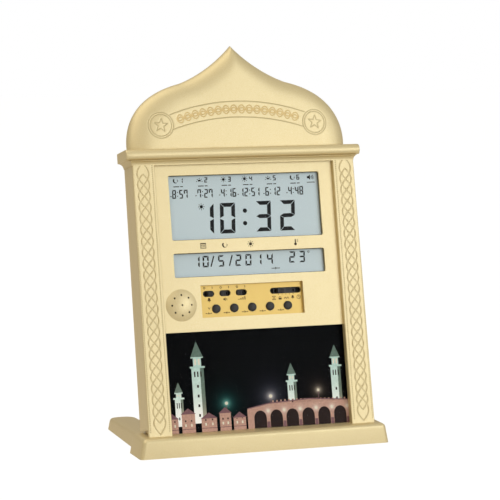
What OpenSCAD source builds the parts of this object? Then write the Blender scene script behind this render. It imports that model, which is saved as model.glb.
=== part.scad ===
// Desk and wall prayer-time clock: leaned display body on a plinth with two rear legs.
// Frame: X to the right, Y to the back, Z up. Origin on the floor, centre of the footprint.
// The body is drawn upright with its front face at y = 0 and its foot at z = 0, then leaned back.

/* [Body] */
// Backward lean of the body on its stand, degrees
lean = 12.4; // [10:0.1:14]
// Width across the columns at the foot
body_w = 223.4; // [222:0.1:225]
// Width across the columns under the cornice
body_top_w = 220; // [218:0.1:222]
// Height of the columns, plinth to cornice
column_h = 251; // [249:0.5:253]
// Depth of the body, column faces to rear cover
body_d = 27.4; // [27.4:0.1:29]
// Clear width between the columns
bay_w = 177.4; // [176:0.1:178]
// Depth of the face panel behind the column faces
panel_recess = 4; // [3.6:0.1:4.2]
// Wall thickness of the mouldings
wall = 2.5; // [2.2:0.1:2.6]

/* [Cornice and dome] */
// Width of the cornice
cornice_w = 232.2; // [230:0.1:234]
// Height of the cornice moulding above its cove
cornice_h = 10.9; // [10:0.1:12]
// Height of the cove under the cornice nose
cove_h = 4.4; // [4:0.1:5]
// How far the cornice nose stands in front of the columns
nose_out = 4.2; // [3:0.1:5]
// Width of the dome at its foot
dome_w = 217; // [214:0.5:218]
// Height of the dome from cornice to tip
dome_h = 99.7; // [96:0.1:102]
// Depth at which the dome reaches its full outline
dome_edge_y = 20; // [19:0.5:21]
// How far the dome face swells forward of that outline
dome_bulge = 11; // [9:0.5:12]

/* [Displays and picture] */
// Width of both display windows
window_w = 150; // [146:0.5:152]
// Bottom and top of the time window
upper_z = [180.4, 241.3];
// Bottom and top of the date window
lower_z = [145.6, 168.2];
// Top of the picture opening, which runs down to the plinth
picture_top = 94.7; // [92:0.1:95]

/* [Controls] */
// Width of the control recess
control_w = 101.6; // [100:0.1:102]
// Bottom and top of the control recess
control_z = [107.3, 137.6];
// Depth of the control plate behind the column faces
control_recess = 7.7; // [7:0.1:7.9]
// Diameter of the push buttons
button_d = 8; // [7:0.1:8.5]
// Distance between push buttons
button_pitch = 17.8; // [17:0.1:18]
// Travel of a push button
button_travel = 0.8; // [0.5:0.1:0.8]
// Height of the row of switches
switch_row_z = 129.7; // [129:0.1:131]
// Length of a small switch slot
slot_l = 11.1; // [10:0.1:12]
// Width of every switch slot
slot_w = 5.7; // [5:0.1:6]
// Travel of a small switch
switch_travel = 3.6; // [2:0.1:4]
// Length of the mode selector slot
mode_slot_l = 31.2; // [30:0.1:32]
// Distance between the five mode positions
mode_pitch = 3.7; // [3:0.1:3.8]
// Radius of the round speaker grille
grille_r = 15; // [14:0.1:15.5]
// Radius of the ring of sound holes
hole_ring_r = 9.5; // [9:0.1:10]
// Diameter of a sound hole
sound_hole_d = 1.8; // [1.2:0.1:2]

/* [Stand] */
// Length of the plinth at the floor
plinth_w = 245.4; // [244:0.1:250]
// Height of the plinth above its own lower edge
plinth_h = 18.4; // [17:0.1:20]
// How far the plinth stands in front of the body foot
plinth_front = 10.1; // [9:0.1:12]
// Depth behind the body foot at which the plinth ends
plinth_back = 27.7; // [27:0.1:29]
// Depth behind the body foot at which the legs end
leg_back = 150; // [130:1:160]
// Height by which the rubber pads lift the stand
pad_h = 0.6; // [0.4:0.1:1]

/* [Hidden] */
$fn = 64;

gold = [0.89, 0.83, 0.66];
black = [0.12, 0.11, 0.1];
steel = [0.75, 0.76, 0.78];
green = [0.1, 0.42, 0.24];

// Where things stand
foot_y = -(leg_back - plinth_front) / 2;
foot_z = plinth_h + pad_h;
foot_cut_z = 6.5;
cove_step = 0.5;
floor_y = body_d - 2;
cornice_z = column_h + cove_h;
dome_z = cornice_z + cornice_h;
panel_back = panel_recess + wall;
gap = 0.05;

// Battery compartment, door and cells
tray_x = 32;
tray_z = [22, 72];
cell_r = 7.1;
cell_l = 50;
cell_y = 18.25;
hinge_y = floor_y + 0.2;
hinge_z = tray_z[0] + 2.4;

// Speaker, switches and keys
speaker_x = -70.6;
speaker_z = 119.9;
switch_x = [-42.2, -26, -9.8];
mode_x = 34.4;
button_z = 115.4;
board_y = 13.4;
key_board_y = 15.4;
board_t = 1.6;

// Screws and hanger
screw_r = 1.25;
column_x = (bay_w / 2 + wall + body_top_w / 2 - wall) / 2;
stand_screw = [60, 18];
main_screw_at = [for (x = [-81.5, 81.5], z = [150, 236]) [x, z]];
key_screw_at = [for (x = [-48.5, 48.5], z = [106.5, 137.8]) [x, z]];
case_screw_at = [for (s = [-1, 1], z = [18, 130, 240]) [s * column_x, z],
    for (s = [-1, 1]) [s * 55, 300]];
hanger_z = 300;
hanger_r = 4;

// Stand
leg_x = 114.2;
leg_toe_in = 3.9;
leg_w = 33;
leg_end_r = 13;
leg_front_h = 14.4;
leg_back_h = 10;
leg_fall = atan((leg_front_h - leg_back_h) / (leg_back - plinth_back));
pad_r = 6;
pad_at = [leg_x - leg_toe_in - leg_end_r - 2.5, foot_y + leg_back - 17];

// ---------------------------------------------------------------- placing

module leaned() {
    translate([0, foot_y, foot_z]) rotate([-lean, 0, 0]) children();
}

// A flat outline in X and Z, from depth y0 to depth y1
module slab(y0, y1) {
    translate([0, y1, 0]) rotate([90, 0, 0]) linear_extrude(y1 - y0) children();
}

// A rod along the depth
module rod(x, z, r, y0, y1) {
    translate([x, y1, z]) rotate([90, 0, 0]) cylinder(r = r, h = y1 - y0);
}

module block(x0, x1, y0, y1, z0, z1) {
    translate([x0, y0, z0]) cube([x1 - x0, y1 - y0, z1 - z0]);
}

module rect(x0, x1, z0, z1) {
    translate([x0, z0]) square([x1 - x0, z1 - z0]);
}

module stadium(x, z, l, w) {
    rect(x - l / 2 + w / 2, x + l / 2 - w / 2, z - w / 2, z + w / 2);
    for (s = [-1, 1]) translate([x + s * (l - w) / 2, z]) circle(d = w);
}

// Everything above the plinth's flat top
module above_plinth() {
    intersection() {
        children();
        translate([-200, foot_y - 50, foot_z]) cube([400, 300, 500]);
    }
}

// ---------------------------------------------------------------- outlines

function bezier(p, t) = pow(1 - t, 3) * p[0] + 3 * pow(1 - t, 2) * t * p[1]
    + 3 * (1 - t) * t * t * p[2] + pow(t, 3) * p[3];

// Right half of the dome outline, from its foot to its tip, above the cornice
dome_flank = [[dome_w / 2, 0], [dome_w / 2, 4.4], [dome_w / 2 + 6.4, 49.2], [53.5, dome_h - 35.7]];
dome_sweep = [[53.5, dome_h - 35.7], [53.3, dome_h - 35.6], [25.4, dome_h - 27.1], [0, dome_h]];
flank_steps = 12;
sweep_steps = 8;
dome_half = concat([for (i = [0 : flank_steps - 1]) bezier(dome_flank, i / flank_steps)],
    [for (i = [0 : sweep_steps]) bezier(dome_sweep, i / sweep_steps)]);
dome_outline = concat(dome_half,
    [for (i = [len(dome_half) - 2 : -1 : 0]) [-dome_half[i][0], dome_half[i][1]]]);

// The dome as rings of the same outline, drawn in towards the middle of its foot.
// Each ring is [scale, depth]: from behind the back, round the edge, to just before the flat face.
pillow = 0.2;
function pillow_rings(s, bulge) = concat([for (a = [0 : 18 : 72])
    [(1 - pillow * (1 - cos(a))) * s, dome_edge_y - bulge * sin(a)]], [[0.79 * s, dome_edge_y - bulge - 1]]);
rim = 0.935;
outer_rings = concat([[0.963, body_d + 1], [0.968, 24], [0.99, 21.5]], pillow_rings(1, dome_bulge));
inner_rings = concat([[rim, body_d + 2], [rim, 22.6], [0.955, 22]], pillow_rings(0.955, dome_bulge - wall));

// The dome's foot is sunk a little into the cornice
function sunk(p, s) = dome_z + (p[1] > 0 ? p[1] * s : -1);

// Trimmed flat at its face and at its back
module trimmed_dome(rings, y0, y1) {
    intersection() {
        dome(rings);
        block(-130, 130, y0, y1, dome_z - 20, dome_z + 120);
    }
}

module dome(rings) {
    n = len(dome_outline);
    last = len(rings) - 1;
    points = [for (r = rings, p = dome_outline) [p[0] * r[0], r[1], sunk(p, r[0])]];
    sides = [for (i = [0 : last - 1], j = [0 : n - 1]) let (k = (j + 1) % n)
        each [[i * n + j, (i + 1) * n + k, i * n + k], [i * n + j, (i + 1) * n + j, (i + 1) * n + k]]];
    back = [[for (j = [0 : n - 1]) j]];
    front = [[for (j = [n - 1 : -1 : 0]) last * n + j]];
    polyhedron(points = points, faces = concat(back, sides, front));
}

module body_outline(inset, z0) {
    w0 = body_w / 2 - inset;
    w1 = body_top_w / 2 - inset;
    polygon([[-w0, z0], [w0, z0], [w1, cornice_z], [-w1, cornice_z]]);
}

// Inside of the housing seen from behind, up to the foot of the dome
module inside_outline(inset) {
    body_outline(wall + inset, foot_cut_z + wall + inset);
    rect(-body_top_w / 2 + wall + inset, body_top_w / 2 - wall - inset, column_h, dome_z - inset);
}

// ---------------------------------------------------------------- housing

module cornice_profile() {
    r = cornice_h / 2;
    translate([-nose_out + r, dome_z - r]) circle(r);
    rect(-nose_out + r, body_d, cornice_z, dome_z);
    difference() {
        rect(-nose_out + 1, body_d, column_h, cornice_z);
        translate([-nose_out + 0.6, column_h]) circle(cove_h - cove_step);
    }
}

// Ends of the cornice: a plain cap over a cove that runs in to the columns
module cornice_front_view() {
    r = (cornice_w - body_top_w) / 2 - cove_step;
    difference() {
        rect(-cornice_w / 2, cornice_w / 2, column_h, dome_z);
        for (s = [-1, 1]) translate([s * cornice_w / 2, column_h]) circle(r);
    }
}

module cornice() {
    intersection() {
        translate([-cornice_w / 2, 0, 0]) rotate([90, 0, 90]) linear_extrude(cornice_w) cornice_profile();
        slab(-20, body_d) cornice_front_view();
    }
}

module grille_dome(r, h, y) {
    ball = (r * r + h * h) / (2 * h);
    intersection() {
        translate([speaker_x, y - h + ball, speaker_z]) sphere(ball, $fn = 96);
        rod(speaker_x, speaker_z, r, y - h - 1, y + 0.3);
    }
}

module sound_holes() {
    rod(speaker_x, speaker_z, sound_hole_d / 2, -2, panel_back + 1);
    for (a = [0 : 45 : 315])
        rod(speaker_x + hole_ring_r * sin(a), speaker_z + hole_ring_r * cos(a), sound_hole_d / 2, -2, panel_back + 1);
}

module control_openings(clear) {
    for (x = switch_x) stadium(x, switch_row_z, slot_l + clear, slot_w + clear);
    stadium(mode_x, switch_row_z, mode_slot_l + clear, slot_w + clear);
    for (i = [-2 : 2]) translate([i * button_pitch, button_z]) circle(d = button_d + 0.4 + clear);
}

module front_housing() color(gold) above_plinth() leaned() {
    pocket_back = control_recess + 0.3 + 2;
    difference() {
        union() {
            // shell of the body, cut away behind the front skin at the foot
            slab(0, wall) body_outline(0, -2);
            slab(wall - 0.1, body_d) body_outline(0, foot_cut_z);
            slab(0, panel_back) rect(-bay_w / 2 - wall, bay_w / 2 + wall, -2, foot_cut_z + 1);
            cornice();
            trimmed_dome(outer_rings, dome_edge_y - dome_bulge, body_d);
        }
        // hollow behind the columns, the panel and the dome
        difference() {
            slab(wall, body_d + 1) inside_outline(0);
            slab(-1, panel_back) rect(-bay_w / 2 - wall, bay_w / 2 + wall, -5, column_h + 2);
            slab(-1, 21.5) rect(-cornice_w, cornice_w, column_h + 2, 400);
        }
        trimmed_dome(inner_rings, dome_edge_y - dome_bulge + wall, body_d + 1);
        block(-body_top_w / 2 + wall, body_top_w / 2 - wall, wall, body_d + 1, column_h + 2, dome_z - wall);
        // recessed bay between the columns, open at the picture
        slab(-1, panel_recess) rect(-bay_w / 2, bay_w / 2, -5, column_h);
        slab(-1, panel_back + 1) rect(-bay_w / 2, bay_w / 2, -5, picture_top);
        block(-bay_w / 2 - wall - 0.4, bay_w / 2 + wall + 0.4, panel_back, 10.4, -5, foot_cut_z + wall + 1);
        // windows and control pocket
        slab(-1, panel_back + 1) rect(-window_w / 2, window_w / 2, upper_z[0], upper_z[1]);
        slab(-1, panel_back + 1) rect(-window_w / 2, window_w / 2, lower_z[0], lower_z[1]);
        slab(-1, panel_back + 1) rect(-control_w / 2, control_w / 2, control_z[0], control_z[1]);
        rod(speaker_x, speaker_z, grille_r - 1.5, panel_recess, panel_back + 1);
        for (s = [-1, 1]) stand_screw_hole(s);
    }
    // control pocket: four walls and a floor with the openings
    difference() {
        slab(panel_back - 1, pocket_back)
            rect(-control_w / 2 - 2, control_w / 2 + 2, control_z[0] - 2, control_z[1] + 2);
        slab(0, control_recess + 0.3) rect(-control_w / 2, control_w / 2, control_z[0], control_z[1]);
        slab(0, pocket_back + 1) control_openings(0);
    }
    difference() {
        grille_dome(grille_r, 3.6, panel_recess);
        grille_dome(grille_r - 1.5, 3, panel_recess + 1.2);
        rod(speaker_x, speaker_z, grille_r - 1, panel_recess, panel_back);
        sound_holes();
    }
    // bosses for the case, board and stand screws
    for (p = case_screw_at) boss(p, p[1] > dome_z ? dome_edge_y - dome_bulge + 1 : wall - 0.1, floor_y, 3.2);
    for (p = main_screw_at) boss(p, panel_back - 0.1, board_y, 2.4);
    for (p = key_screw_at) boss(p, pocket_back - 0.1, key_board_y, 2.2);
    for (s = [-1, 1]) difference() {
        translate([s * stand_screw[0], stand_screw[1], foot_cut_z + 0.5]) cylinder(r = 3.5, h = 9);
        stand_screw_hole(s);
    }
}

// Boss from depth y0 up to what it carries at depth y1
module boss(p, y0, y1, r) {
    difference() {
        rod(p[0], p[1], r, y0, y1 - gap);
        rod(p[0], p[1], screw_r + gap, max(y0 + 1, y1 - 12), y1);
    }
}

module stand_screw_hole(s) {
    translate([s * stand_screw[0], stand_screw[1], -8]) cylinder(r = screw_r + gap, h = 22);
}

module rear_cover() color(gold) leaned() {
    difference() {
        union() {
            slab(floor_y, body_d) {
                inside_outline(0.3);
                polygon([for (p = dome_outline) [p[0] * (rim - 0.003), sunk(p, rim - 0.003)]]);
            }
            // battery tray and hinge ears
            difference() {
                block(-tray_x - 2, tray_x + 2, 9.7, floor_y + 0.1, tray_z[0] - 4, tray_z[1] + 2);
                block(-tray_x, tray_x, 11, floor_y + 1, tray_z[0] - 2, tray_z[1]);
            }
        }
        // doorway with room for the door's lower edge to swing
        block(-tray_x, tray_x, floor_y - 1, body_d + 1, tray_z[0] + 0.2, tray_z[1]);
        for (s = [-1, 1])
            translate([s * (tray_x - 2), hinge_y, hinge_z]) rotate([0, s * 90, 0]) cylinder(r = 0.85, h = 4);
        for (p = case_screw_at) rod(p[0], p[1], screw_r + 0.35, floor_y - 1, body_d + 1);
        for (p = case_screw_at) rod(p[0], p[1], 2.8, body_d - 0.9, body_d + 1);
        // DC socket, hanger seat with its pocket, and sound slots
        block(62.9, 73.1, floor_y - 1, body_d + 1, 26.4, 37.6);
        slab(body_d - 1.2, body_d + 1) rect(-13.2, 13.2, hanger_z - 18.2, hanger_z + 14.2);
        slab(floor_y - 1, body_d) rect(-7, 7, hanger_z - 6, hanger_z + 10);
        for (i = [-3 : 3])
            slab(floor_y - 1, body_d + 1) stadium(speaker_x, speaker_z + i * 4, 24 - 2 * abs(i), 1.8);
    }
}

// ---------------------------------------------------------------- displays

module window_pane(z) {
    slab(panel_back + gap, panel_back + 1.2) rect(-window_w / 2 - 3, window_w / 2 + 3, z[0] - 3, z[1] + 3);
}

module window_upper() color("lightcyan", 0.4) leaned() window_pane(upper_z);

module window_lower() color("lightcyan", 0.4) leaned() window_pane(lower_z);

lcd_y = panel_back + 1.4;
lcd_t = 2.2;
light_t = 2;

module lcd_glass(z) {
    slab(lcd_y, lcd_y + lcd_t) rect(-window_w / 2 - 2.5, window_w / 2 + 2.5, z[0] - 3, z[1] + 2);
}

module lcd_upper() color([0.72, 0.78, 0.78]) leaned() lcd_glass(upper_z);

module lcd_lower() color([0.72, 0.78, 0.78]) leaned() lcd_glass(lower_z);

module backlight(z) {
    y = lcd_y + lcd_t + 0.1;
    slab(y, y + light_t) rect(-window_w / 2 - 2, window_w / 2 + 2, z[0] + 0.8, z[1] + 1.6);
}

module backlight_upper() color("white") leaned() backlight(upper_z);

module backlight_lower() color("white") leaned() backlight(lower_z);

module lcd_connectors() color("pink") leaned() {
    for (z = [upper_z[0], lower_z[0]])
        slab(lcd_y + lcd_t, board_y) rect(-window_w / 2 + 6, window_w / 2 - 6, z - 2.8, z - 0.4);
}

module main_board() color(green) leaned() {
    difference() {
        slab(board_y, board_y + board_t) rect(-85, 85, 143, 245);
        for (p = main_screw_at) rod(p[0], p[1], screw_r + 0.2, board_y - 1, board_y + 3);
    }
}

module board_parts() color(black) leaned() {
    y = board_y + board_t;
    rod(0, 205, 9, y, y + 1.6);
    rod(48, 222, 4, y, y + 8.5);
    rod(60, 222, 4, y, y + 8.5);
    block(-52, -38, y, y + 3.4, 196, 214);
    block(-58, -36, y, y + 4, 222, 227);
    block(30, 46, y, y + 2.2, 186, 196);
    rod(-26, 222, 1.6, y, y + 8);
}

module temperature_sensor() color("darkolivegreen") leaned() {
    y = board_y + board_t;
    for (x = [76, 78.5]) rod(x, 160, 0.3, y, y + 5);
    translate([77.25, y + 6.2, 160]) sphere(1.9);
}

// ---------------------------------------------------------------- controls

module key_board() color(green) leaned() {
    difference() {
        slab(key_board_y, key_board_y + board_t) rect(-52, 52, 103, 141);
        for (p = key_screw_at) rod(p[0], p[1], screw_r + 0.2, key_board_y - 1, key_board_y + 3);
    }
}

module tact_switches() color("silver") leaned() {
    for (i = [-2 : 2])
        block(i * button_pitch - 3, i * button_pitch + 3, key_board_y - 3.2, key_board_y, button_z - 3, button_z + 3);
}

module switch_body(x, l) {
    difference() {
        block(x - l / 2, x + l / 2, key_board_y - 3.5, key_board_y, switch_row_z - 3.4, switch_row_z + 3.4);
        block(x - l / 2 + 1, x + l / 2 - 1, key_board_y - 4, key_board_y - 1.4, switch_row_z - 1.3, switch_row_z + 1.3);
    }
}

module switch_bodies() color(black) leaned() {
    for (x = switch_x) switch_body(x, 9.4);
}

module mode_switch_body() color(black) leaned() switch_body(mode_x, 22);

module control_plate() color([0.87, 0.76, 0.4]) leaned() {
    difference() {
        slab(control_recess, control_recess + 0.25)
            rect(-control_w / 2 + 0.1, control_w / 2 - 0.1, control_z[0] + 0.1, control_z[1] - 0.1);
        slab(0, 20) control_openings(0.1);
    }
}

// Push button: crowned cap, retaining flange behind the pocket floor, short stem
module button(i) color(black) leaned() {
    back = control_recess + 2.3;
    x = i * button_pitch;
    crown = 14;
    intersection() {
        rod(x, button_z, button_d / 2, control_recess - 2, back + gap + 0.8);
        translate([x, control_recess - 1.7 + crown, button_z]) sphere(crown, $fn = 96);
    }
    rod(x, button_z, button_d / 2 + 0.9, back + gap, back + gap + 0.8);
    rod(x, button_z, 1.6, back + gap, key_board_y - 3.2 - button_travel - 0.1);
}

module button_1() button(-2);
module button_2() button(-1);
module button_3() button(0);
module button_4() button(1);
module button_5() button(2);

// Switch knob: ribbed thumb piece in the slot, wings behind the floor, driving peg
module knob(x, l, wing) {
    back = control_recess + 2.3;
    block(x - l / 2, x + l / 2, control_recess - 0.2, back + 0.4, switch_row_z - 2.2, switch_row_z + 2.2);
    for (k = [-1 : 1])
        block(x + k * 1.5 - 0.3, x + k * 1.5 + 0.3, control_recess - 0.8, control_recess, switch_row_z - 2, switch_row_z + 2);
    block(x - wing / 2, x + wing / 2, back + gap, back + 0.9, switch_row_z - 3.7, switch_row_z + 3.7);
    block(x - 0.9, x + 0.9, back + 0.5, key_board_y - 1.6, switch_row_z - 0.9, switch_row_z + 0.9);
}

module switch_knob_1() color(black) leaned() knob(switch_x[0] + switch_travel / 2, 5, 6.6);
module switch_knob_2() color(black) leaned() knob(switch_x[1] - switch_travel / 2, 5, 6.6);
module switch_knob_3() color(black) leaned() knob(switch_x[2] - switch_travel / 2, 5, 6.6);
module mode_knob() color(black) leaned() knob(mode_x - mode_pitch, 8, 9.6);

// ---------------------------------------------------------------- speaker

module speaker_frame() color(steel) leaned() translate([speaker_x, 0, speaker_z]) rotate([-90, 0, 0])
    rotate_extrude() polygon([[12, 6.55], [15, 6.55], [15, 7.8], [13, 8.2], [9, 12.5], [9, 17.5],
        [0, 17.5], [0, 15.5], [6.6, 15.5], [6.6, 12.4], [8.2, 12.2], [12, 8]]);

module speaker_cone() color(black) leaned() translate([speaker_x, 0, speaker_z]) rotate([-90, 0, 0])
    rotate_extrude() polygon([[0, 9.2], [3.4, 9.9], [6, 11.2], [11.8, 7.3], [11.8, 7.9], [6, 11.9],
        [5.2, 15], [4.6, 15], [4.6, 11.6], [3.2, 10.6], [0, 9.9]]);

// Wire of straight runs with round elbows
module wire(path, r) {
    for (i = [0 : len(path) - 2]) {
        d = path[i + 1] - path[i];
        h = norm(d);
        translate(path[i]) rotate([0, acos(d[2] / h), atan2(d[1], d[0])]) cylinder(r = r, h = h);
    }
    for (i = [1 : len(path) - 2]) translate(path[i]) sphere(r * 1.15);
}

module speaker_leads() color("crimson") leaned() {
    for (k = [0, 1])
        wire([[speaker_x + 2 * k, 17.5, speaker_z], [speaker_x + 2 * k, 20, speaker_z],
            [speaker_x + 2 * k, 20, 150 + 4 * k], [speaker_x + 2 * k, board_y + board_t, 150 + 4 * k]], 0.6);
}

// ---------------------------------------------------------------- picture

module picture_sheet(y0, y1, z0) {
    slab(y0, y1) rect(-bay_w / 2 - 2, bay_w / 2 + 2, z0, picture_top + 3);
}

module picture_pane() color("lightcyan", 0.3) above_plinth() leaned() picture_sheet(panel_back + gap, 8.1, 0);
module picture_print() color([0.1, 0.1, 0.1]) above_plinth() leaned() picture_sheet(8.15, 8.45, 0);
module picture_backing() color("ivory") above_plinth() leaned() picture_sheet(8.5, 9.5, 0);

// ---------------------------------------------------------------- power

// Door that swings down about pins at its lower edge, with a ribbed thumb grip at the top
module battery_door() color(gold) leaned() {
    clear = 0.3;
    difference() {
        union() {
            block(-tray_x + clear, tray_x - clear, hinge_y, body_d, hinge_z - 0.7, tray_z[1] - clear);
            translate([-tray_x + clear, hinge_y, hinge_z]) rotate([0, 90, 0]) cylinder(r = 1, h = 2 * (tray_x - clear));
        }
        for (i = [0 : 3]) block(-8, 8, body_d - 0.5, body_d + 1, tray_z[1] - 6 + i * 1.2, tray_z[1] - 5.5 + i * 1.2);
    }
    for (s = [-1, 1])
        translate([s * (tray_x - 1.5), hinge_y, hinge_z]) rotate([0, s * 90, 0]) cylinder(r = 0.8, h = 3);
}

module battery_cells() color("darkgreen") leaned() {
    for (k = [0 : 2]) {
        z = tray_z[0] + 1.4 + cell_r + k * (2 * cell_r + 0.6);
        flip = k == 1 ? -1 : 1;
        translate([0, cell_y, z]) rotate([0, 90, 0]) {
            cylinder(r = cell_r, h = cell_l - 1, center = true);
            translate([0, 0, flip * (cell_l / 2 - 0.6)]) cylinder(r = 2.6, h = 1.4, center = true);
        }
    }
}

module battery_contacts() color(steel) leaned() {
    for (k = [0 : 2], s = [-1, 1]) {
        z = tray_z[0] + 1.4 + cell_r + k * (2 * cell_r + 0.6);
        mirror([s < 0 ? 1 : 0, 0, 0]) block(tray_x - 0.6, tray_x - gap, 12.5, 24, z - 5.5, z + 5.5);
        // spring pressing on the cell's end
        translate([s * 25.5, cell_y, z]) rotate([0, s * 90, 0]) cylinder(r1 = 2, r2 = 4, h = 6);
    }
}

// Wires from the battery tray and the DC socket up to the main board
module power_leads() color("crimson") leaned() {
    for (k = [0, 1]) {
        wire([[tray_x + 2, 19, 50 + 4 * k], [40 + 3 * k, 19, 50 + 4 * k], [40 + 3 * k, 20, 150 + 4 * k],
            [40 + 3 * k, board_y + board_t, 150 + 4 * k]], 0.6);
        wire([[66 + 4 * k, 20, 37.5], [66 + 4 * k, 20, 150 + 4 * k], [66 + 4 * k, board_y + board_t, 150 + 4 * k]], 0.6);
    }
}

// Coaxial DC socket: moulded block, 5.5 mm mouth, centre pin
module dc_jack() color(black) leaned() {
    difference() {
        block(63, 73, 13, body_d - 0.2, 26.5, 37.5);
        rod(68, 32, 2.8, 16.5, body_d + 1);
    }
    rod(68, 32, 1, 16, body_d - 2.4);
}

// ---------------------------------------------------------------- fasteners and hanger

module wall_hanger() color(steel) leaned() {
    difference() {
        slab(body_d - 1.2, body_d) rect(-13, 13, hanger_z - 18, hanger_z + 14);
        rod(0, hanger_z, hanger_r, floor_y - 1, body_d + 1);
        slab(0, body_d + 1) rect(-1.9, 1.9, hanger_z, hanger_z + 8);
        rod(0, hanger_z + 8, 1.9, 0, body_d + 1);
        for (s = [-1, 1]) rod(s * 9.5, hanger_z - 12, 1.3, 0, body_d + 1);
    }
}

module hanger_screws() color(steel) leaned() {
    for (s = [-1, 1]) {
        rod(s * 9.5, hanger_z - 12, 1.2, body_d - 1.2, body_d);
        rod(s * 9.5, hanger_z - 12, 2.3, body_d, body_d + 1);
    }
}

// Pan-head screw through a board whose front is at depth y
module pan_screw(p, y, reach) {
    rod(p[0], p[1], screw_r, y - reach, y + board_t);
    rod(p[0], p[1], 2.3, y + board_t, y + board_t + 1.5);
}

module board_screws() color(steel) leaned() {
    for (p = main_screw_at) pan_screw(p, board_y, 5);
    for (p = key_screw_at) pan_screw(p, key_board_y, 4);
}

module case_screws() color(steel) leaned() {
    for (p = case_screw_at) difference() {
        union() {
            rod(p[0], p[1], screw_r, 14, body_d - 0.8);
            rod(p[0], p[1], 2.6, body_d - 0.85, body_d - 0.1);
        }
        for (a = [0, 90])
            translate([p[0], body_d, p[1]]) rotate([0, a, 0]) cube([3, 1.2, 0.6], center = true);
    }
}

// ---------------------------------------------------------------- stand

// Plinth moulding: rounded bar, hollow below, with a neck that carries the body
module plinth() color(gold) {
    r = 3;
    x = plinth_w / 2;
    y0 = foot_y - plinth_front;
    y1 = foot_y + plinth_back;
    difference() {
        union() {
            hull() {
                for (s = [-1, 1]) {
                    translate([s * (x - 2.4 - r), y0 + 1.2 + r, foot_z - r]) sphere(r, $fn = 32);
                    translate([s * (x - 2.4 - r), y1 - r, foot_z - r]) sphere(r, $fn = 32);
                    translate([s * (x - r), y0 + r, pad_h]) cylinder(r = r, h = 0.5, $fn = 32);
                    translate([s * (x - 1.5), y1 - 1.5, pad_h]) cylinder(r = 1.5, h = 0.5, $fn = 32);
                }
            }
            neck();
        }
        block(-x + 4.5, x - 4.5, y0 + 4, y1 - 3, pad_h - 1, foot_z - 3);
        for (s = [-1, 1]) leg_tongue(s, 0.2);
        leaned() for (s = [-1, 1]) {
            stand_screw_hole(s);
            translate([s * stand_screw[0], stand_screw[1], -20]) cylinder(r = 3.2, h = 20.5);
        }
    }
    // pillars that take the leg screws, and the pads' seats
    for (s = [-1, 1]) difference() {
        translate([s * (leg_x - leg_w / 2 - 2), foot_y + 16, 5.3]) cylinder(r = 4, h = foot_z - 5.3 - 1);
        translate([s * (leg_x - leg_w / 2 - 2), foot_y + 16, 0]) cylinder(r = screw_r + gap, h = 13);
    }
    for (s = [-1, 1]) translate([s * (x - 14), foot_y + 2, pad_h + 0.6]) cylinder(r = pad_r + 1.5, h = foot_z - pad_h - 2);
}

// Neck on the plinth that fills the body's foot, set in from its side walls
module neck() {
    intersection() {
        leaned() {
            block(-bay_w / 2 - 2, bay_w / 2 + 2, 10.4, body_d - 2.6, -8, foot_cut_z - gap);
            for (s = [-1, 1]) {
                x0 = s > 0 ? bay_w / 2 + 3 : -body_w / 2 + 3.6;
                x1 = s > 0 ? body_w / 2 - 3.6 : -bay_w / 2 - 3;
                block(x0, x1, wall + 0.3, body_d - 2.6, -8, foot_cut_z - gap);
            }
        }
        block(-120, 120, foot_y, foot_y + plinth_back, foot_z - 2, foot_z + 12);
    }
}

module stand_screws() color(steel) leaned() {
    for (s = [-1, 1]) translate([s * stand_screw[0], stand_screw[1], 0.5]) {
        cylinder(r = screw_r, h = 13);
        translate([0, 0, -2.4]) cylinder(r = 2.8, h = 2.4);
    }
}

module leg_plan(inset) {
    x = leg_x - inset;
    y1 = foot_y + leg_back - inset;
    r = leg_end_r - inset;
    polygon([[x - leg_w + 2 * inset, foot_y + plinth_back], [x, foot_y + plinth_back],
        [x - leg_toe_in + 0.7, y1 - r], [x - leg_toe_in - r, y1 - r],
        [x - leg_w + 2 * inset, y1 - r]]);
    translate([x - leg_toe_in + 0.7 - r, y1 - r]) circle(r);
    translate([x - leg_w + 2 * inset + r, y1 - r]) circle(r);
    translate([x - leg_w + 2 * inset + r, y1 - r]) square([leg_w - 2 * inset - 2 * r - leg_toe_in + 0.7, r]);
}

// Leg: hollow arm whose top falls to the rear and whose sides lean in
module leg(s) {
    top = 3;
    y0 = foot_y + plinth_back;
    mirror([s < 0 ? 1 : 0, 0, 0]) {
        difference() {
            hull() {
                translate([0, 0, pad_h]) linear_extrude(0.6) leg_plan(0);
                intersection() {
                    translate([0, 0, pad_h]) linear_extrude(leg_front_h) leg_plan(top);
                    translate([0, y0, pad_h + leg_front_h]) rotate([-leg_fall, 0, 0])
                        translate([0, -5, -0.6]) cube([200, 140, 0.6]);
                }
            }
            translate([0, 0, pad_h - 1]) linear_extrude(leg_back_h - 1.4) difference() {
                leg_plan(top + 2);
                translate([0, y0 - 1]) square([200, 4]);
            }
        }
        translate([pad_at[0], pad_at[1], pad_h + 0.6]) cylinder(r = pad_r + 1, h = leg_back_h - 2);
        leg_tongue(1, 0);
    }
}

// Tongue that plugs through the plinth's rear wall
module leg_tongue(s, clear) {
    xm = s * (leg_x - leg_w / 2 - 2);
    y1 = foot_y + plinth_back + (clear > 0 ? 1 : 0.5);
    difference() {
        block(xm - 9 - clear, xm + 9 + clear, foot_y + 10, y1, 2.2 - clear, 5.2 + clear);
        if (clear == 0) translate([xm, foot_y + 16, 0]) cylinder(r = screw_r + 0.35, h = 10);
    }
}

module leg_left() color(gold) leg(-1);
module leg_right() color(gold) leg(1);

module leg_screws() color(steel) {
    for (s = [-1, 1]) translate([s * (leg_x - leg_w / 2 - 2), foot_y + 16, 0]) {
        translate([0, 0, 1]) cylinder(r = 2.6, h = 1.15);
        translate([0, 0, 2]) cylinder(r = screw_r, h = 10);
    }
}

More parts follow.
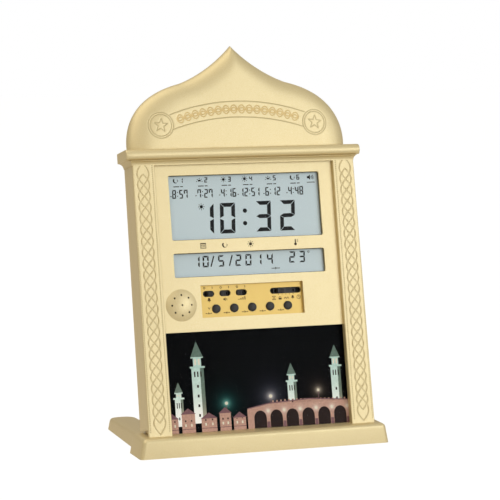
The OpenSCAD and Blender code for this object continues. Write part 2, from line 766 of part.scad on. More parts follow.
// Four rubber pads: two under the plinth, two under the ends of the legs
module foot_pads() color("dimgray") {
    for (s = [-1, 1]) {
        translate([s * (plinth_w / 2 - 14), foot_y + 2, 0]) cylinder(r = pad_r, h = pad_h + 0.6);
        translate([s * pad_at[0], pad_at[1], 0]) cylinder(r = pad_r, h = pad_h + 0.6);
    }
}

front_housing();
rear_cover();
window_upper();
window_lower();
lcd_upper();
lcd_lower();
backlight_upper();
backlight_lower();
lcd_connectors();
main_board();
board_parts();
temperature_sensor();
key_board();
tact_switches();
switch_bodies();
mode_switch_body();
control_plate();
button_1();
button_2();
button_3();
button_4();
button_5();
switch_knob_1();
switch_knob_2();
switch_knob_3();
mode_knob();
speaker_frame();
speaker_cone();
speaker_leads();
picture_pane();
picture_print();
picture_backing();
battery_door();
battery_cells();
battery_contacts();
power_leads();
dc_jack();
wall_hanger();
hanger_screws();
board_screws();
case_screws();
plinth();
leg_left();
leg_right();
leg_screws();
stand_screws();
foot_pads();
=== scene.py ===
import math

import bpy
import numpy as np
from mathutils import Matrix, Vector


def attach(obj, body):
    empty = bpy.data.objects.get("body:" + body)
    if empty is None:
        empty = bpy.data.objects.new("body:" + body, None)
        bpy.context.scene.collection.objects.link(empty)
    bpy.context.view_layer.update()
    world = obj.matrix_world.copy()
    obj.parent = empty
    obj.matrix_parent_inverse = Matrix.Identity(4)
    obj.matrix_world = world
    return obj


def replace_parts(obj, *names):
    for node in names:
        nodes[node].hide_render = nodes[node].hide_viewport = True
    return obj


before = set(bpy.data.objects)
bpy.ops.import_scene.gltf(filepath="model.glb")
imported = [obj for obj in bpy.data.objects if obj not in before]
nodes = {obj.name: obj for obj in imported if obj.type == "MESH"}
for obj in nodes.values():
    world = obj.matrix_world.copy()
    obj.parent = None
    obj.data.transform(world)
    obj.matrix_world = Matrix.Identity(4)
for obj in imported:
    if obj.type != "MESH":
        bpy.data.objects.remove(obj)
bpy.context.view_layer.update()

# The body is drawn upright in millimetres, front face at y = 0 and foot at z = 0, then leaned and put on its stand
mm = 0.001
lean = math.radians(12.4)
bodyFoot = (0, -69.95, 19)
rowPlace = Matrix.Scale(mm, 4)
bodyPlace = rowPlace @ Matrix.Translation(bodyFoot) @ Matrix.Rotation(-lean, 4, "X")

# ---- camera, light, floor
view = {"position": (-713.73, -2055.8, 439.92), "pitch": -6.82, "yaw": -19.42, "lens": 165.87, "sensor": 36,
        "near": 0.05}
bpy.ops.object.camera_add(location=[c * mm for c in view["position"]],
                          rotation=(math.radians(90 + view["pitch"]), 0, math.radians(view["yaw"])))
camera = bpy.context.object
camera.data.lens = view["lens"]
camera.data.sensor_width = view["sensor"]
camera.data.clip_start = view["near"]
bpy.context.scene.camera = camera

lampAim = Vector((0, 0, 0.2))
lamps = [  # place, size, power and colour of each soft lamp, all aimed at the middle of the clock
    {"name": "keyLamp", "at": (1.5, -2.1, 1.2), "size": 1.7, "power": 24.5, "colour": (0.88, 0.94, 1.0)},
    {"name": "fillLamp", "at": (0.7, -2.5, 0.35), "size": 1.3, "power": 12, "colour": (0.92, 0.96, 1.0)},
    {"name": "topLamp", "at": (-0.9, 0.1, 2.5), "size": 2.4, "power": 28, "colour": (1.0, 0.94, 0.82)},
    {"name": "sideLamp", "at": (-1.7, -1.7, 2.0), "size": 1.8, "power": 12, "colour": (1.0, 0.92, 0.76)},
]
for lamp in lamps:
    turn = (lampAim - Vector(lamp["at"])).to_track_quat("-Z", "Y").to_euler()
    bpy.ops.object.light_add(type="AREA", location=lamp["at"], rotation=turn)
    light = bpy.context.object
    light.name = lamp["name"]
    light.data.size = lamp["size"]
    light.data.energy = lamp["power"]
    light.data.color = lamp["colour"]
bpy.context.scene.view_settings.view_transform = "Standard"
print("camera and lamps are set")


# ---- shader maths
class Wire:
    def __init__(self, shader, socket):
        self.shader = shader
        self.socket = socket

    def maths(self, operation, first, second):
        return self.shader.node("Math", {"operation": operation}, {0: first, 1: second})

    def __add__(self, other): return self.maths("ADD", self, other)
    def __radd__(self, other): return self.maths("ADD", other, self)
    def __sub__(self, other): return self.maths("SUBTRACT", self, other)
    def __mul__(self, other): return self.maths("MULTIPLY", self, other)
    def __truediv__(self, other): return self.maths("DIVIDE", self, other)
    def __rtruediv__(self, other): return self.maths("DIVIDE", other, self)
    def __pow__(self, other): return self.maths("POWER", self, other)


class Shader:  # of a new material, or of a world that is there already
    def __init__(self, name=None, world=None):
        self.material = world or bpy.data.materials.new(name)
        self.material.use_nodes = True
        self.tree = self.material.node_tree
        self.tree.nodes.clear()

    def node(self, kind, settings=None, inputs=None, output=0):
        made = self.tree.nodes.new("ShaderNode" + kind)
        for key, value in (settings or {}).items():
            setattr(made, key, value)
        for key, value in (inputs or {}).items():
            if isinstance(value, Wire):
                self.tree.links.new(value.socket, made.inputs[key])
            else:
                made.inputs[key].default_value = value
        return Wire(self, made.outputs[output]) if made.outputs else None

    def place(self, turned=False):
        coordinates = self.node("TexCoord", output="Object")
        shift, turn = (0, 0, 0), (0, 0, 0)
        if turned:  # back to the upright body
            shift, turn = bodyPlace.inverted().to_translation() * mm, (lean, 0, 0)
        return self.node("Mapping", None, {"Vector": coordinates, "Location": shift, "Rotation": turn})

    def noise(self, scale, detail):
        return self.node("TexNoise", None, {"Vector": self.place(), "Scale": scale, "Detail": detail})

    def painted(self, name):  # the number that paint put on each vertex
        return self.node("Attribute", {"attribute_name": name}, output=2)

    def mix(self, factor, first, second):  # this node's sockets share names, so they go by number
        return self.node("Mix", {"data_type": "RGBA"}, {0: factor, 6: first, 7: second}, output=2)

    def bump(self, height, strength, distance):
        return self.node("Bump", None, {"Strength": strength, "Distance": distance, "Height": height})

    def surface(self, **inputs):
        named = {key.replace("_", " "): value for key, value in inputs.items()}
        return self.node("BsdfPrincipled", None, named)

    def done(self, shade):
        self.node("OutputMaterial", None, {"Surface": shade})
        return self.material


def rgb(red, green, blue):  # screen values, 0 to 255, as the shader's linear colour
    def linear(v):
        v /= 255
        return v / 12.92 if v <= 0.04045 else ((v + 0.055) / 1.055) ** 2.4
    return (linear(red), linear(green), linear(blue), 1.0)


# The first four are noise scales
paintFilm = {"drift": 9.0, "flake": 1500.0, "wear": 160.0, "ripple": 420.0, "rippleShare": 1.5, "flakeShare": 0.5,
             "flakeLevel": 0.12, "flakeColour": rgb(250, 240, 212), "metallic": 0.42, "roughness": 0.42,
             "wearShare": 0.1, "glint": rgb(222, 190, 112), "bump": 0.10, "bumpDepth": 0.00004}


def lacquer(name, pale, deep, cut, vineShadeColour):
    p = paintFilm
    s = Shader(name)
    flake = s.noise(p["flake"], 1.0)
    base = s.mix(s.noise(p["drift"], 1.0), pale, deep)
    base = s.mix((flake - 0.5) * p["flakeShare"] + p["flakeLevel"], base, p["flakeColour"])
    # darker towards the cut colour in the engraved lines: painted shade in the grooves
    base = s.mix(s.painted("grooveShade"), base, cut)
    # darker gold-brown in the vine's grooves: painted shade
    base = s.mix(s.painted("vineGrooveShade"), base, vineShadeColour)
    skin = s.bump(flake + s.noise(p["ripple"], 2.0) * p["rippleShare"], p["bump"], p["bumpDepth"])
    return s.done(s.surface(Base_Color=base, Metallic=p["metallic"],
                            Roughness=p["roughness"] + s.noise(p["wear"], 3.0) * p["wearShare"], Normal=skin,
                            Specular_IOR_Level=0.3, Specular_Tint=p["glint"], Coat_Weight=0.6,
                            Coat_Roughness=0.4, Coat_IOR=1.6))


def moulded(name, colour, second, grain=900.0, roughness=0.45, metallic=0.0, depth=0.00003, coat=0.0, gloss=0.5):
    s = Shader(name)
    speck = s.noise(grain, 2.0)
    cloud = s.noise(grain / 14, 2.0)
    base = s.mix(cloud * 0.7 + speck * 0.3, colour, second)
    return s.done(s.surface(Base_Color=base, Metallic=metallic, Roughness=roughness - 0.06 + speck * 0.12,
                            Normal=s.bump(speck, 0.25, depth), Coat_Weight=coat, Coat_Roughness=0.1,
                            Specular_IOR_Level=gloss))


def clearSheet(name, alpha, roughness):
    s = Shader(name)
    haze = s.noise(35.0, 3.0)
    return s.done(s.surface(Base_Color=rgb(24, 28, 28), Roughness=roughness + haze * 0.02, IOR=1.49,
                            Specular_IOR_Level=0.04, Alpha=alpha + haze * 0.01))


def printed(name, colour, second, grain, glows, fall=None, glow=0.0):
    # each glow: x and z on the body, reach, strength and colour; fall: a height, how far it reaches and its colour
    s = Shader(name)
    at = s.place(turned=True)
    x, z = (s.node("SeparateXYZ", None, {0: at}, output=axis) for axis in ("X", "Z"))
    base = s.mix(s.noise(grain, 2.0), colour, second)
    if fall:
        away = (z - fall[0] * mm) / (fall[1] * mm)
        base = s.mix(1.0 / (away * away + 1.0), base, fall[2])
    for gx, gz, reach, strength, colour in glows:
        far = ((x - gx * mm) ** 2.0 + (z - gz * mm) ** 2.0) / (reach * mm) ** 2
        base = s.mix(strength / ((far + 1.0) ** 2.0), base, colour)
    # glow gives out part of the print's colour as light: a painted glow, as no lamp lights the picture
    return s.done(s.surface(Base_Color=base, Roughness=0.35, Specular_IOR_Level=0.02, Emission_Color=base,
                            Emission_Strength=glow))


# The picture's bridge lamps stand halfway between its arches, and light the wall round them
bridge = {"first": 0.5, "pitch": 16, "arches": 6, "lampHigh": 17.5}
bridgeGlows = [(bridge["first"] + bridge["pitch"] * (k + 0.5), bridge["lampHigh"], 2.6, 0.95, rgb(255, 248, 236))
               for k in range(bridge["arches"])]
nightGlows = [(12, 31, 13, 0.5, rgb(70, 74, 96)), (-32, 27, 10, 0.5, rgb(24, 92, 96)),
              (12, 31, 3.4, 0.95, rgb(236, 232, 240)), (-32, 27, 3.2, 0.95, rgb(140, 226, 214)),
              (60, 34, 9, 0.5, rgb(72, 60, 58)), (60, 34, 2.6, 0.95, rgb(240, 226, 206))]
faintBump = 0.000002
finishes = {
    # the third colour is painted shade for the engraved grooves, the fourth painted shade for the vine's grooves
    "gold": lacquer("goldLacquer", rgb(223, 204, 153), rgb(216, 196, 142), rgb(150, 132, 84), rgb(196, 160, 88)),
    "pane": clearSheet("clearAcrylic", 0.04, 0.04),
    "lcd": moulded("displayGlass", rgb(224, 242, 250), rgb(218, 238, 249), 300.0, 0.4, depth=faintBump),
    "milk": moulded("milkyLightGuide", rgb(240, 240, 234), rgb(228, 230, 228), 500.0, 0.4),
    "board": moulded("solderMask", rgb(26, 98, 56), rgb(18, 80, 48), 1400.0, 0.35, coat=0.4),
    # the key board is black in place of green: painted shade in the slots in front of it
    "slotShadeBoard": moulded("slotShadeSolderMask", rgb(24, 26, 25), rgb(18, 20, 19), 1400.0, 0.4),
    # black moulded parts; on the switch bodies this black is painted shade in the slots
    "black": moulded("blackMouldingAndSlotShade", rgb(40, 33, 24), rgb(28, 23, 18), 1600.0, 0.42, gloss=0.35),
    "foil": moulded("goldenOverlay", rgb(212, 179, 95), rgb(206, 172, 87), 2200.0, 0.36, 0.3),
    "steel": moulded("platedSteel", rgb(196, 197, 200), rgb(172, 174, 178), 1800.0, 0.3, 1.0),
    "card": moulded("backingCard", rgb(214, 206, 184), rgb(200, 190, 166), 1200.0, 0.8),
    "sleeve": moulded("cellSleeve", rgb(36, 84, 58), rgb(28, 70, 50), 600.0, 0.3, 0.2, coat=0.5),
    "wire": moulded("wireCover", rgb(168, 34, 36), rgb(146, 26, 30), 900.0, 0.5),
    "elastomer": moulded("contactStrip", rgb(206, 150, 150), rgb(190, 132, 134), 1100.0, 0.6),
    "rubber": moulded("padRubber", rgb(48, 48, 48), rgb(36, 36, 36), 2000.0, 0.75),
    "segment": moulded("displaySegment", rgb(5, 6, 7), rgb(9, 11, 12), 700.0, 0.5, depth=faintBump, gloss=0.2),
    "ink": moulded("signInk", rgb(92, 70, 34), rgb(80, 60, 30), 1500.0, 0.6, depth=faintBump, gloss=0.2),
    # ink of the printed signs, also the painted shadow lines round the windows
    "inkAndEdgeShadow": moulded("labelInkAndEdgeShadow", rgb(74, 62, 44), rgb(64, 54, 40), 1500.0, 0.6, depth=faintBump, gloss=0.2),
    # the pale stone and the warm walls also give out light: a painted glow on the print
    "paleStone": printed("litStone", rgb(206, 232, 224), rgb(150, 186, 176), 420.0, [],
                         (14, 16, rgb(255, 255, 250)), 0.3),
    "shadeStone": printed("shadedStone", rgb(134, 160, 150), rgb(84, 112, 104), 420.0, [],
                          (14, 10, rgb(196, 190, 170))),
    "warmWall": printed("warmWall", rgb(226, 184, 164), rgb(176, 134, 124), 620.0, bridgeGlows, glow=0.15),
    "lowWall": printed("lowWall", rgb(168, 126, 124), rgb(118, 86, 104), 620.0, bridgeGlows),
    "nightGap": moulded("nightGap", rgb(52, 34, 30), rgb(36, 26, 26), 500.0, 0.5, depth=faintBump, gloss=0.1),
    "night": printed("nightSheet", rgb(1, 1, 2), rgb(4, 4, 6), 90.0, nightGlows),
    "lampLight": moulded("lampLight", rgb(255, 252, 240), rgb(255, 246, 220), 500.0, 0.5, depth=faintBump, gloss=0.1),
}

nodeFinish = {
    "pane": ["window_upper", "window_lower", "picture_pane"],
    "lcd": ["lcd_upper", "lcd_lower"],
    "milk": ["backlight_upper", "backlight_lower"],
    "board": ["main_board"],
    "slotShadeBoard": ["key_board"],
    # the switch bodies are black in place of steel shells: painted shade in their slots
    "black": ["board_parts", "button_1", "button_2", "button_3", "button_4", "button_5", "switch_knob_1",
              "switch_knob_2", "switch_knob_3", "mode_knob", "speaker_cone", "dc_jack", "switch_bodies",
              "mode_switch_body"],
    "foil": ["control_plate"],
    "steel": ["tact_switches", "speaker_frame", "battery_contacts", "wall_hanger", "hanger_screws", "board_screws",
              "case_screws", "leg_screws", "stand_screws"],
    "card": ["picture_backing"],
    "sleeve": ["battery_cells"],
    "wire": ["speaker_leads", "power_leads"],
    "elastomer": ["lcd_connectors", "temperature_sensor"],
    "night": ["picture_print"],
    "rubber": ["foot_pads"],
    "gold": ["front_housing", "rear_cover", "battery_door", "plinth", "leg_left", "leg_right"],
}
for finish, members in nodeFinish.items():
    for member in members:
        nodes[member].data.materials.clear()
        nodes[member].data.materials.append(finishes[finish])
print("finishes are on the CAD nodes")

# A pale floor that keeps the shadow, under a white sky; both are white to the camera and partly so to the gloss
studio = {"paper": rgb(196, 182, 150), "glow": 1.17, "glowShare": 0.84, "floorGloss": 0.7, "floorSize": 12,
          "skyColour": (1, 0.94, 0.84, 1), "skyLevel": 0.2, "skyGloss": 0.4}
s = Shader("paleFloor")
direct, gloss, through = (s.node("LightPath", output="Is %s Ray" % k) for k in ("Camera", "Glossy", "Transmission"))
seen = direct + gloss * studio["floorGloss"] + through
paper = s.surface(Base_Color=studio["paper"], Roughness=0.9)
glow = s.node("Emission", None, {"Color": (1, 1, 1, 1), "Strength": studio["glow"]})
bpy.ops.mesh.primitive_plane_add(size=studio["floorSize"], location=(0, 0, 0))
floor = bpy.context.object
floor.name = "floorSheet"
floor.data.materials.append(s.done(s.node("MixShader", None, {0: seen * studio["glowShare"], 1: paper, 2: glow})))

sky = bpy.data.worlds.new("studioSky")
bpy.context.scene.world = sky
s = Shader(world=sky)
direct, gloss, through = (s.node("LightPath", output="Is %s Ray" % k) for k in ("Camera", "Glossy", "Transmission"))
level = s.node("Background", None, {"Color": studio["skyColour"], "Strength": studio["skyLevel"]})
white = s.node("Background", None, {"Color": (1, 1, 1, 1), "Strength": 1.0})
mixed = s.node("MixShader", None, {0: direct + through + gloss * studio["skyGloss"], 1: level, 2: white})
s.node("OutputWorld", None, {"Surface": mixed})


# ---- making pieces
def clearSelection():
    if bpy.context.object and bpy.context.object.mode != "OBJECT":
        bpy.ops.object.mode_set(mode="OBJECT")
    bpy.ops.object.select_all(action="DESELECT")


def pick(piece):
    clearSelection()
    piece.select_set(True)
    bpy.context.view_layer.objects.active = piece


def editAll(piece):
    pick(piece)
    bpy.ops.object.mode_set(mode="EDIT")
    bpy.ops.mesh.select_all(action="SELECT")


def turnOutwards(piece):
    editAll(piece)
    bpy.ops.mesh.normals_make_consistent(inside=False)
    bpy.ops.object.mode_set(mode="OBJECT")


weldGap = 0.004


def closeUp(piece):  # weld the seams, fill the open ends and turn the faces outwards
    editAll(piece)
    bpy.ops.mesh.remove_doubles(threshold=weldGap)
    bpy.ops.mesh.select_all(action="SELECT")
    bpy.ops.mesh.fill_holes(sides=0)
    turnOutwards(piece)


def sheetOf(points, closed=False):  # a grid primitive whose corners are moved to rows x columns of points
    rows, across = points.shape[:2]
    clearSelection()
    bpy.ops.mesh.primitive_grid_add(x_subdivisions=across - 1, y_subdivisions=rows - 1, size=1)
    piece = bpy.context.object
    piece.data.vertices.foreach_set("co", np.asarray(points, np.float32).reshape(-1))
    piece.data.update()
    if closed:
        closeUp(piece)
    return piece


def plate(outline, y0, y1):  # a flat outline in x and z, from depth y0 back to depth y1
    return plates([outline], y0, y1)


def plates(outlines, y0, y1):
    parts = []
    for outline in outlines:
        clearSelection()
        bpy.ops.mesh.primitive_circle_add(vertices=len(outline), fill_type="NGON")
        parts.append(bpy.context.object)
        flat = [c for x, z in outline for c in (x, y0, z)]
        parts[-1].data.vertices.foreach_set("co", flat)
    piece = join(parts)
    editAll(piece)
    bpy.ops.mesh.extrude_region_move(TRANSFORM_OT_translate={"value": (0, y1 - y0, 0)})
    bpy.ops.mesh.select_all(action="SELECT")
    bpy.ops.mesh.normals_make_consistent(inside=False)
    bpy.ops.object.mode_set(mode="OBJECT")
    return piece


def block(x, y, z):
    clearSelection()
    centre = [(a + b) / 2 for a, b in (x, y, z)]
    bpy.ops.mesh.primitive_cube_add(size=1, location=centre, scale=[b - a for a, b in (x, y, z)])
    piece = bpy.context.object
    bpy.ops.object.transform_apply(location=True, rotation=True, scale=True)
    return piece


def ring(x, z, radius, count=32, turn=0.0):
    turns = [turn + 2 * math.pi * i / count for i in range(count)]
    return [(x + radius * math.sin(a), z + radius * math.cos(a)) for a in turns]


def roundedRect(x0, x1, z0, z1, radius, steps=4):
    corners = [(x1 - radius, z1 - radius, 0), (x1 - radius, z0 + radius, 90),
               (x0 + radius, z0 + radius, 180), (x0 + radius, z1 - radius, 270)]
    loop = []
    for x, z, start in corners:
        turns = [math.radians(start + 90 * i / steps) for i in range(steps + 1)]
        loop += [(x + radius * math.sin(a), z + radius * math.cos(a)) for a in turns]
    return loop


def stadium(x, z, length, width, hair=0.001):  # a hair of straight end keeps its points apart
    return roundedRect(x - length / 2, x + length / 2, z - width / 2, z + width / 2, width / 2 - hair, 8)


def join(pieces):
    clearSelection()
    for piece in pieces:
        piece.select_set(True)
    bpy.context.view_layer.objects.active = pieces[0]
    bpy.ops.object.join()
    return pieces[0]


def combine(piece, cutter, operation="DIFFERENCE"):
    pick(piece)
    modifier = piece.modifiers.new("combine", "BOOLEAN")
    modifier.operation = operation
    modifier.solver = "EXACT"
    modifier.object = cutter
    bpy.ops.object.modifier_apply(modifier=modifier.name)
    bpy.data.objects.remove(cutter)
    return piece


def soften(piece, width, segments=2, angle=32):
    pick(piece)
    modifier = piece.modifiers.new("soften", "BEVEL")
    modifier.width = width
    modifier.segments = segments
    modifier.limit_method = "ANGLE"
    modifier.angle_limit = math.radians(angle)
    bpy.ops.object.modifier_apply(modifier=modifier.name)
    return piece


def settle(piece, name, finish, place=bodyPlace, body="clock", smooth=34, weigh=False):
    pick(piece)
    piece.matrix_world = place @ piece.matrix_world
    bpy.ops.object.transform_apply(location=True, rotation=True, scale=True)
    bpy.ops.object.shade_smooth_by_angle(angle=math.radians(smooth))
    if weigh:
        modifier = piece.modifiers.new("evenNormals", "WEIGHTED_NORMAL")
        modifier.keep_sharp = True
        modifier.weight = 100
        bpy.ops.object.modifier_apply(modifier=modifier.name)
    piece.name = name
    piece.data.materials.clear()
    piece.data.materials.append(finishes[finish])
    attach(piece, body)
    return piece


def paint(piece, attribute, values):  # one number for each vertex, read by the lacquer
    layer = piece.data.attributes.new(attribute, "FLOAT", "POINT")
    layer.data.foreach_set("value", np.asarray(values, np.float32))


# ---- columns with the engraved strand
nowhere = 99.0  # a distance from every line
column = {"inner": 88.7, "foot": 111.7, "top": 110.0, "height": 251.0, "round": 0.8, "skin": 2.5,
          "returnDepth": 6.5, "rowStep": 0.5, "below": 1.5, "above": 0.3, "across": 46}
strand = {"centre": 100.6, "halfWidth": 5.65, "pitch": 10.49, "first": 1.9, "count": 23, "grooveWidth": 0.36,
          "depth": 0.5, "shade": 0.4, "dotLine": 9.25, "dotEvery": 4, "dotRows": 2, "dotFaint": 0.1, "dotFoot": 3,
          "dotWidth": 0.4, "dotDepth": 0.3}


def strandCut(u, v):  # how deep the engraving is, 0 to 1, beside the column's middle line and above its foot
    best = np.full(u.shape, nowhere)
    for behind in (0, 1):
        k = np.floor((v - strand["first"]) / strand["pitch"]) - behind
        t = (v - strand["first"] - k * strand["pitch"]) / (2 * strand["pitch"])
        edge = strand["halfWidth"] * np.sin(np.pi * t)
        slope = strand["halfWidth"] * np.pi / (2 * strand["pitch"]) * np.cos(np.pi * t)
        distance = np.abs(np.abs(u) - edge) / np.sqrt(1 + slope ** 2)
        best = np.where((k >= 0) & (k < strand["count"]), np.minimum(best, distance), best)
    return np.exp(-(best / strand["grooveWidth"]) ** 2)


def makeColumn(side):
    c = column
    z = np.arange(-c["below"], c["height"] + c["above"], c["rowStep"])
    outer = c["foot"] + (c["top"] - c["foot"]) * np.clip(z, 0, None) / c["height"]
    arc = [math.radians(a) for a in (0, 22.5, 45, 67.5, 90)]
    r = c["round"]
    fractions = np.linspace(0, 1, c["across"])
    rows = []
    for level, edge in zip(z, outer):
        inner = c["inner"]
        profile = [(inner + c["skin"], c["returnDepth"]), (inner, c["returnDepth"])]
        profile += [(inner + r - r * math.cos(a), r - r * math.sin(a)) for a in arc]
        profile += [(inner + r + (edge - inner - 2 * r) * f, 0.0) for f in fractions[1:-1]]
        profile += [(edge - r + r * math.sin(a), r - r * math.cos(a)) for a in arc]
        profile += [(edge, c["skin"]), (inner + c["skin"], c["skin"]), (inner + c["skin"], c["returnDepth"])]
        rows.append([(x, y, level) for x, y in profile])
    points = np.array(rows)
    u = points[..., 0] - strand["centre"]
    v = points[..., 2]
    front = points[..., 1] < 0.01
    cut = strandCut(u, v) * front
    dotted = np.arange(len(z)) % strand["dotEvery"] < strand["dotRows"]
    strength = np.where(dotted, 1.0, strand["dotFaint"])[:, None]
    dots = np.exp(-((np.abs(u) - strand["dotLine"]) / strand["dotWidth"]) ** 2) * strength * front
    dots = dots * (v > strand["dotFoot"])
    points[..., 1] += cut * strand["depth"] + dots * strand["dotDepth"]
    if side < 0:
        points = points[:, ::-1].copy()
        points[..., 0] *= -1
        cut, dots = cut[:, ::-1], dots[:, ::-1]
    piece = sheetOf(points)
    # the strand's grooves and the dotted rows get painted shade
    paint(piece, "grooveShade", np.clip(cut * strand["shade"] + dots, 0, 1).reshape(-1))
    closeUp(piece)
    return settle(piece, "columnRight" if side > 0 else "columnLeft", "gold", smooth=50)


housing = [makeColumn(side) for side in (-1, 1)]
print("columns are engraved")

# Side walls from the columns back to the rear cover, ending above the plinth
wall = {"thick": 2.5, "foot": 6.5, "top": 251.3, "front": 2.4, "back": 27.4, "edge": 0.35}
bodyFloor = {"x": (-106, 106), "y": (10.6, 24.8), "above": (0.1, 2.5), "edge": 0.3}
for side in (-1, 1):
    piece = block((0, wall["thick"]), (wall["front"], wall["back"]), (wall["foot"], wall["top"]))
    for vertex in piece.data.vertices:
        edge = column["foot"] + (column["top"] - column["foot"]) * vertex.co.z / column["height"]
        vertex.co.x = side * (edge - vertex.co.x)
    turnOutwards(piece)
    soften(piece, wall["edge"])
    housing.append(settle(piece, "sideWallRight" if side > 0 else "sideWallLeft", "gold", smooth=60, weigh=True))
piece = block(bodyFloor["x"], bodyFloor["y"], [wall["foot"] + z for z in bodyFloor["above"]])
housing.append(settle(soften(piece, bodyFloor["edge"]), "bodyFloor", "gold"))

# ---- face panel with its windows, the control recess and the seat of the speaker grille
panel = {"front": 4.0, "back": 6.5, "foot": 94.7, "top": 252.0, "half": 88.75, "pocketBack": 10.3, "edge": 0.25,
         "throughFace": (0, 9), "throughPocket": (7, 12)}
windows = {"half": 75.0, "upper": (180.4, 241.3), "lower": (145.6, 168.2), "corner": 1.6}
pocket = {"half": 50.8, "z": (107.3, 137.6), "floor": 8.0, "wall": 2.0}
keys = {"switchX": (-42.2, -26.0, -9.8), "modeX": 34.4, "rowZ": 129.7, "slot": (11.1, 5.7), "modeSlot": 31.2,
        "buttonZ": 115.4, "buttonPitch": 17.8, "buttonHole": 8.4}
grille = {"x": -70.6, "z": 119.9, "radius": 15.0, "rise": 3.6, "skin": 1.2, "holeRing": 9.5, "hole": 1.8,
          "seat": 1.5, "holes": 8, "drill": (-3, 9)}

piece = block((-panel["half"], panel["half"]), (panel["front"], panel["back"]), (panel["foot"], panel["top"]))
tray = block((-pocket["half"] - pocket["wall"], pocket["half"] + pocket["wall"]),
             (panel["back"] - 1, panel["pocketBack"]),
             (pocket["z"][0] - pocket["wall"], pocket["z"][1] + pocket["wall"]))
combine(piece, tray, "UNION")
cutters = [plate(roundedRect(-windows["half"], windows["half"], *windows[w], windows["corner"]),
                 *panel["throughFace"]) for w in ("upper", "lower")]
cutters.append(block((-pocket["half"], pocket["half"]), (0, pocket["floor"]), pocket["z"]))
cutters.append(plate(ring(grille["x"], grille["z"], grille["radius"] - grille["seat"], 48), *panel["throughFace"]))
combine(piece, join(cutters))
outlines = [stadium(x, keys["rowZ"], *keys["slot"]) for x in keys["switchX"]]
outlines.append(stadium(keys["modeX"], keys["rowZ"], keys["modeSlot"], keys["slot"][1]))
outlines += [ring(i * keys["buttonPitch"], keys["buttonZ"], keys["buttonHole"] / 2) for i in range(-2, 3)]
combine(piece, join([plate(outline, *panel["throughPocket"]) for outline in outlines]))
housing.append(settle(soften(piece, panel["edge"]), "facePanel", "gold", smooth=60, weigh=True))
print("face panel is cut")

# ---- round speaker grille
ball = (grille["radius"] ** 2 + grille["rise"] ** 2) / (2 * grille["rise"])
clearSelection()
bpy.ops.mesh.primitive_uv_sphere_add(segments=96, ring_count=96, radius=ball, rotation=(math.radians(90), 0, 0),
                                     location=(grille["x"], panel["front"] - grille["rise"] + ball, grille["z"]))
piece = bpy.context.object
bpy.ops.object.transform_apply(location=True, rotation=True, scale=True)
editAll(piece)
bpy.ops.mesh.bisect(plane_co=(0, panel["front"] + 0.1, 0), plane_no=(0, 1, 0), clear_outer=True)
bpy.ops.object.mode_set(mode="OBJECT")
pick(piece)
modifier = piece.modifiers.new("wall", "SOLIDIFY")
modifier.thickness = grille["skin"]
modifier.offset = -1
bpy.ops.object.modifier_apply(modifier=modifier.name)
middles = [(grille["x"], grille["z"])] + ring(grille["x"], grille["z"], grille["holeRing"], grille["holes"])
combine(piece, join([plate(ring(x, z, grille["hole"] / 2, 16), *grille["drill"]) for x, z in middles]))
housing.append(settle(piece, "speakerGrille", "gold", smooth=40))


# ---- cornice, lofted from its underside to its top
cornice = {"half": 116.1, "foot": 251.0, "neck": 255.4, "top": 266.3, "round": 5.45, "cove": 3.9, "endCove": 5.6,
           "back": 27.4, "corner": 0.9, "endRound": 1.2, "coveFront": -3.6, "neckFront": -3.2, "roundMiddle": 1.25,
           "hollowHalf": 107.5, "hollows": [((2.5, 30), (250, 263.8)), ((21.5, 30), (250, 270))]}


def corniceFront(z):
    c = cornice
    if z <= c["foot"] + c["cove"]:
        return c["coveFront"] + math.sqrt(max(0, c["cove"] ** 2 - (z - c["foot"]) ** 2))
    if z <= c["neck"]:
        return c["neckFront"]
    return c["roundMiddle"] - math.sqrt(max(0, c["round"] ** 2 - (z - (c["top"] - c["round"])) ** 2))


def corniceHalf(z):
    rise = z - cornice["foot"]
    if rise >= cornice["endCove"]:
        return cornice["half"]
    return cornice["half"] - math.sqrt(cornice["endCove"] ** 2 - rise ** 2)


quarterTurn = (0, 0.39, 0.79, 1.18, 1.57)
levels = [cornice["foot"] + cornice["cove"] * math.sin(math.radians(a)) for a in range(0, 91, 10)]
middle = cornice["top"] - cornice["round"]
levels += [middle - cornice["round"] * math.cos(math.radians(a)) for a in range(4, 177, 7)] + [cornice["top"]]
levels = sorted(set(levels + [255.2, 255.4, 255.41, 255.9, 256.6, 256.61]))  # with the steps under the nose
rows = []
for z in levels:
    half, y, e = corniceHalf(z), corniceFront(z), cornice["endRound"]
    if z > cornice["top"] - e:  # the top edge of the end caps is rounded off
        half -= e - math.sqrt(max(0, e * e - (z - cornice["top"] + e) ** 2))
    r = min(cornice["corner"], 0.45 * (cornice["back"] - y))
    loop = [(-half, cornice["back"], z)]
    loop += [(-half + r - r * math.cos(a), y + r - r * math.sin(a), z) for a in quarterTurn]
    loop += [(x, y, z) for x in np.linspace(-half + 8, half - 8, 12)]
    loop += [(half - r + r * math.sin(a), y + r - r * math.cos(a), z) for a in quarterTurn]
    loop += [(half, cornice["back"], z), (0, cornice["back"], z), (-half, cornice["back"], z)]
    rows.append(loop)
piece = sheetOf(np.array(rows), closed=True)
for y, z in cornice["hollows"]:
    combine(piece, block((-cornice["hollowHalf"], cornice["hollowHalf"]), y, z))
housing.append(settle(piece, "corniceMoulding", "gold", smooth=28))
print("cornice is lofted")

